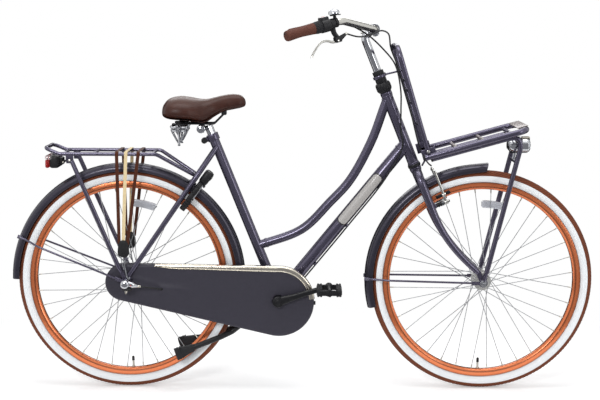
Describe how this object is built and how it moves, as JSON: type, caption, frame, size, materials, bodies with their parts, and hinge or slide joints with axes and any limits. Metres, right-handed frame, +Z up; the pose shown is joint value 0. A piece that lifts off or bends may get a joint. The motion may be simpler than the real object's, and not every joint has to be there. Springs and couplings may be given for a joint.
{
  "type": "dutch city bike",
  "caption": "Step-through city bicycle with closed chaincase, front and rear carriers, mudguards, frame lock, folding stand, roller lever brake and twist shifter.",
  "frame": {"origin": "the point where the rear tyre touches the ground, below the rear axle, in the bicycle's middle plane", "axes": "+X forward towards the front wheel, +Y to the rider's left, +Z up"},
  "size_m": [1.88, 0.6272, 1.2265],
  "materials": {
    "frame_paint": "matte violet-grey paint",
    "guard_paint": "matte dark grey-violet paint",
    "chrome": "bright chrome plate",
    "zinc_steel": "zinc-plated steel",
    "alloy": "satin aluminium",
    "copper_rim": "anodised copper colour",
    "tyre": "brown rubber with a cream-white side wall",
    "black_plastic": "matte black",
    "lamp": "black housing with a red lens",
    "brown_leather": "semi-gloss brown cover over foam",
    "grip": "brown rubber",
    "webbing": "brown and cream elastic webbing",
    "clear_plastic": "clear prismatic plastic",
    "stand_steel": "black painted steel"
  },
  "bodies": {
    "bike_frame": {"frame": "frame_paint", "seat_clamp": "black_plastic", "rear_mudguard": "guard_paint", "rear_mudguard_stay": "zinc_steel", "rear_carrier": "frame_paint", "luggage_straps": "webbing", "tail_light": "lamp", "lock_body": "black_plastic", "chaincase_outer": "guard_paint", "chaincase_inner": "guard_paint", "chaincase_trim": "chrome", "chain": "zinc_steel", "rear_axle": "zinc_steel", "click_box": "chrome", "shift_cable": "black_plastic"},
    "seat": {"seatpost": "chrome", "saddle_rails": "zinc_steel", "saddle_cover": "brown_leather", "saddle_spring_right": "chrome", "saddle_spring_left": "chrome"},
    "steering_unit": {"fork": "frame_paint", "headset_upper": "black_plastic", "stem": "alloy", "handlebar": "alloy", "grip_right": "grip", "grip_left": "grip", "shifter_housing": "black_plastic", "brake_bracket": "black_plastic", "bell_base": "black_plastic", "bell_dome": "chrome", "front_brake_cable": "black_plastic", "front_carrier_deck": "frame_paint", "front_carrier_back": "frame_paint", "front_carrier_legs": "frame_paint", "headlight": "chrome", "front_mudguard": "guard_paint", "front_mudguard_stay": "zinc_steel", "front_axle": "zinc_steel"},
    "twist_sleeve": {"shifter_twist": "black_plastic"},
    "front_brake_lever": {"brake_lever": "alloy"},
    "bell_thumb_lever": {"bell_lever": "black_plastic"},
    "right_brake_arm": {"front_brake_arm_right": "alloy"},
    "left_brake_arm": {"front_brake_arm_left": "alloy"},
    "front_wheel": {"front_rim": "copper_rim", "front_tyre": "tyre", "front_hub": "alloy", "front_reflector": "clear_plastic"},
    "rear_wheel": {"rear_rim": "copper_rim", "rear_tyre": "tyre", "rear_hub": "alloy", "rear_reflector": "clear_plastic"},
    "sprocket": {"rear_sprocket": "zinc_steel"},
    "cranks": {"crank_spindle": "zinc_steel", "right_crank": "alloy", "left_crank": "alloy"},
    "pedal_right": {"right_pedal": "black_plastic"},
    "pedal_left": {"left_pedal": "black_plastic"},
    "shackle": {"lock_shackle": "zinc_steel"},
    "stand": {"kickstand": "stand_steel"}
  },
  "joints": [
    {"name": "steering", "type": "hinge", "parent": "bike_frame", "child": "steering_unit", "pos_m": [0.92288, 0, 0.72529], "axis": [-0.3746, 0, 0.9272], "range_deg": [-45, 45], "deforming": ["shift_cable"]},
    {"name": "front_wheel_spin", "type": "hinge", "parent": "steering_unit", "child": "front_wheel", "pos_m": [1.143, 0, 0.358], "axis": [0, 1, 0], "continuous": true},
    {"name": "rear_wheel_spin", "type": "hinge", "parent": "bike_frame", "child": "rear_wheel", "pos_m": [0, 0, 0.358], "axis": [0, 1, 0], "continuous": true},
    {"name": "crank_spin", "type": "hinge", "parent": "bike_frame", "child": "cranks", "pos_m": [0.486, 0, 0.298], "axis": [0, 1, 0], "continuous": true},
    {"name": "sprocket_spin", "type": "hinge", "parent": "bike_frame", "child": "sprocket", "pos_m": [0, 0, 0.358], "axis": [0, 1, 0], "continuous": true},
    {"name": "right_pedal_spin", "type": "hinge", "parent": "cranks", "child": "pedal_right", "pos_m": [0.64804, 0, 0.3494], "axis": [0, 1, 0], "continuous": true},
    {"name": "left_pedal_spin", "type": "hinge", "parent": "cranks", "child": "pedal_left", "pos_m": [0.32396, 0, 0.2466], "axis": [0, 1, 0], "continuous": true},
    {"name": "stand_fold", "type": "hinge", "parent": "bike_frame", "child": "stand", "pos_m": [0.424, 0, 0.26], "axis": [0, 1, 0], "range_deg": [-80, 0]},
    {"name": "brake_lever_pull", "type": "hinge", "parent": "steering_unit", "child": "front_brake_lever", "pos_m": [0.66643, -0.21055, 1.13071], "axis": [-0.5084, 0.8611, 0], "range_deg": [0, 18], "stiffness_Nm_per_rad": 1.5, "springref_deg": -17.19},
    {"name": "right_brake_arm_turn", "type": "hinge", "parent": "steering_unit", "child": "right_brake_arm", "pos_m": [1.02074, -0.046, 0.61922], "axis": [-0.9272, 0, -0.3746], "range_deg": [0, 2.8]},
    {"name": "left_brake_arm_turn", "type": "hinge", "parent": "steering_unit", "child": "left_brake_arm", "pos_m": [1.02074, 0.046, 0.61922], "axis": [0.9272, 0, 0.3746], "range_deg": [0, 2.8]},
    {"name": "bell_lever_push", "type": "hinge", "parent": "steering_unit", "child": "bell_thumb_lever", "pos_m": [0.66109, -0.21371, 1.18475], "axis": [-0.1999, -0.118, 0.9727], "range_deg": [0, 30], "stiffness_Nm_per_rad": 0.02, "springref_deg": -17.19},
    {"name": "shifter_twist_turn", "type": "hinge", "parent": "steering_unit", "child": "twist_sleeve", "pos_m": [0.51492, -0.3, 1.14425], "axis": [0.8376, 0.4945, 0.2321], "range_deg": [0, 70]},
    {"name": "lock_shackle_turn", "type": "hinge", "parent": "bike_frame", "child": "shackle", "pos_m": [0.20462, 0, 0.62954], "axis": [0.7986, 0, -0.6018], "range_deg": [0, 98], "stiffness_Nm_per_rad": 0.05, "springref_deg": -85.94},
    {"name": "seat_height", "type": "slide", "parent": "bike_frame", "child": "seat", "axis": [-0.3746, 0, 0.9272], "range_m": [0, 0.06]}
  ],
  "couplings": [
    {"joint": "sprocket_spin", "follows": "crank_spin", "ratio": 2.1111},
    {"joint": "right_brake_arm_turn", "follows": "brake_lever_pull", "ratio": 0.15},
    {"joint": "left_brake_arm_turn", "follows": "brake_lever_pull", "ratio": 0.15}
  ]
}
